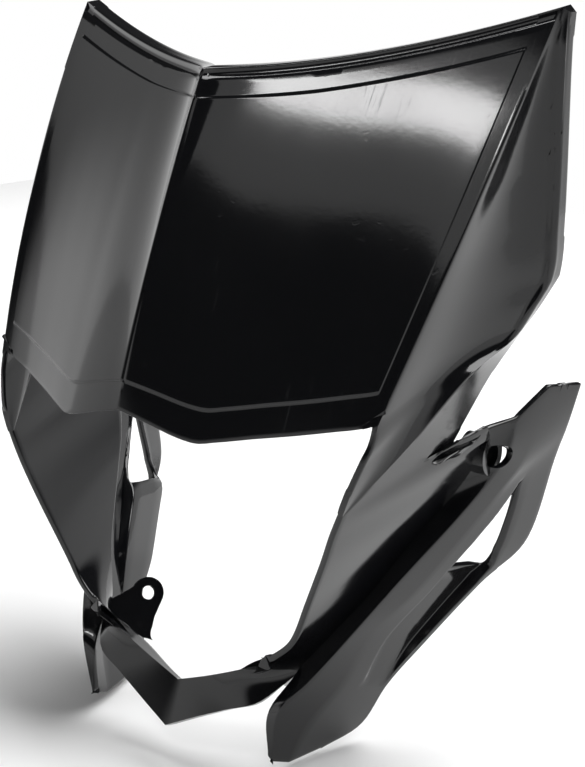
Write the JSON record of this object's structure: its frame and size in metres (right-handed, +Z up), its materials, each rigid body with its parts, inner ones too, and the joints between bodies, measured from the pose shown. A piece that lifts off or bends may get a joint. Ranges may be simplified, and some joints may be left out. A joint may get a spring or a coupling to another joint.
{
  "type": "motorcycle headlight fairing",
  "caption": "Moulded headlight fairing for an off-road motorcycle, with a ridged front panel, a brow over the lamp opening, hollowed cheeks and side wings with air scoops.",
  "frame": {"origin": "middle of the line through the side holes in the wings", "axes": "+X to the right as seen by someone facing the lamp, along the side holes' axis; +Y to the rear of the motorcycle; +Z up"},
  "size_m": [0.2832, 0.1682, 0.3445],
  "materials": {
    "shell": "gloss black moulded plastic with a fine orange-peel surface"
  },
  "bodies": {
    "root": {"fairing": "shell"}
  },
  "joints": []
}
